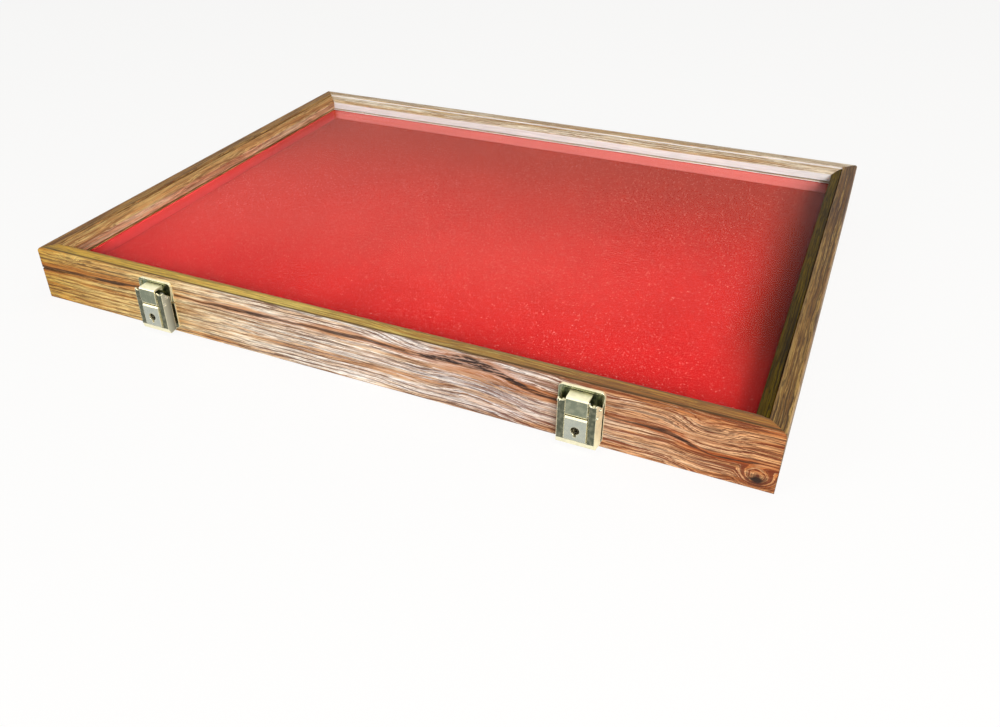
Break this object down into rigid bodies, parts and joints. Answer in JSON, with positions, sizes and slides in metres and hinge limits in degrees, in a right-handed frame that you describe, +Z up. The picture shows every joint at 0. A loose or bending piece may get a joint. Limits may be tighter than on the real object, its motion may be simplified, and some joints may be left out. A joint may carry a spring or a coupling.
{
  "type": "display box",
  "caption": "Shallow oak display case with a hinged glass lid, a velvet pad inside and key-locking draw latches on its front.",
  "frame": {"origin": "centre of the wooden case's underside, on the surface that the box stands on", "axes": "+X to the right seen from the front, +Y towards the hinges at the back, +Z up; the latches are on the -Y face"},
  "size_m": [0.4064, 0.3173, 0.0318],
  "materials": {
    "oak": "clear satin lacquer on straight-grained honey oak",
    "hardboard": "bare brown hardboard",
    "velvet": "red cotton velvet",
    "foam": "off-white open-cell padding under the velvet",
    "glass": "clear picture glass",
    "nickel": "bright nickel plate on pressed steel",
    "steel": "plated steel screws and pins"
  },
  "bodies": {
    "tray": {"tray_front_rail": "oak", "tray_right_rail": "oak", "tray_back_rail": "oak", "tray_left_rail": "oak", "tray_bottom": "hardboard", "velvet_cover": "velvet", "foam_pad": "foam", "front_liner": "velvet", "right_liner": "velvet", "back_liner": "velvet", "left_liner": "velvet", "left_hinge_tray_leaf": "nickel", "left_hinge_pin": "steel", "left_hinge_tray_screw_1": "steel", "left_hinge_tray_screw_2": "steel", "left_latch_base": "nickel", "left_lever_pin": "steel", "left_base_screw_1": "steel", "left_base_screw_2": "steel", "right_hinge_tray_leaf": "nickel", "right_hinge_pin": "steel", "right_hinge_tray_screw_1": "steel", "right_hinge_tray_screw_2": "steel", "right_latch_base": "nickel", "right_lever_pin": "steel", "right_base_screw_1": "steel", "right_base_screw_2": "steel"},
    "lid": {"lid_front_rail": "oak", "lid_right_rail": "oak", "lid_back_rail": "oak", "lid_left_rail": "oak", "front_glass_stop": "oak", "right_glass_stop": "oak", "back_glass_stop": "oak", "left_glass_stop": "oak", "glass_pane": "glass", "left_hinge_lid_leaf": "nickel", "left_hinge_lid_screw_1": "steel", "left_hinge_lid_screw_2": "steel", "left_strike_plate": "nickel", "left_strike_screw_1": "steel", "left_strike_screw_2": "steel", "right_hinge_lid_leaf": "nickel", "right_hinge_lid_screw_1": "steel", "right_hinge_lid_screw_2": "steel", "right_strike_plate": "nickel", "right_strike_screw_1": "steel", "right_strike_screw_2": "steel"},
    "left_lever": {"left_latch_lever": "nickel", "left_lock_case": "nickel", "left_tongue_pin": "steel"},
    "left_tongue": {"left_latch_tongue": "nickel"},
    "left_cam": {"left_lock_cam": "steel"},
    "right_lever": {"right_latch_lever": "nickel", "right_lock_case": "nickel", "right_tongue_pin": "steel"},
    "right_tongue": {"right_latch_tongue": "nickel"},
    "right_cam": {"right_lock_cam": "steel"}
  },
  "joints": [
    {"name": "lid_hinge", "type": "hinge", "parent": "tray", "child": "lid", "pos_m": [0, 0.1548, 0.01905], "axis": [-1, 0, 0], "range_deg": [0, 180]},
    {"name": "left_lever_swing", "type": "hinge", "parent": "tray", "child": "left_lever", "pos_m": [-0.1182, -0.1572, 0.024], "axis": [-1, 0, 0], "range_deg": [0, 85]},
    {"name": "left_tongue_swing", "type": "hinge", "parent": "left_lever", "child": "left_tongue", "pos_m": [-0.1182, -0.15875, 0.0202], "axis": [1, 0, 0], "range_deg": [0, 85]},
    {"name": "left_lock_turn", "type": "hinge", "parent": "left_lever", "child": "left_cam", "pos_m": [-0.1182, -0.1569, 0.0116], "axis": [0, 1, 0], "range_deg": [0, 90]},
    {"name": "right_lever_swing", "type": "hinge", "parent": "tray", "child": "right_lever", "pos_m": [0.1182, -0.1572, 0.024], "axis": [-1, 0, 0], "range_deg": [0, 85]},
    {"name": "right_tongue_swing", "type": "hinge", "parent": "right_lever", "child": "right_tongue", "pos_m": [0.1182, -0.15875, 0.0202], "axis": [1, 0, 0], "range_deg": [0, 85]},
    {"name": "right_lock_turn", "type": "hinge", "parent": "right_lever", "child": "right_cam", "pos_m": [0.1182, -0.1569, 0.0116], "axis": [0, 1, 0], "range_deg": [0, 90]}
  ],
  "couplings": [
    {"joint": "left_tongue_swing", "follows": "left_lever_swing", "ratio": 1},
    {"joint": "right_tongue_swing", "follows": "right_lever_swing", "ratio": 1}
  ]
}
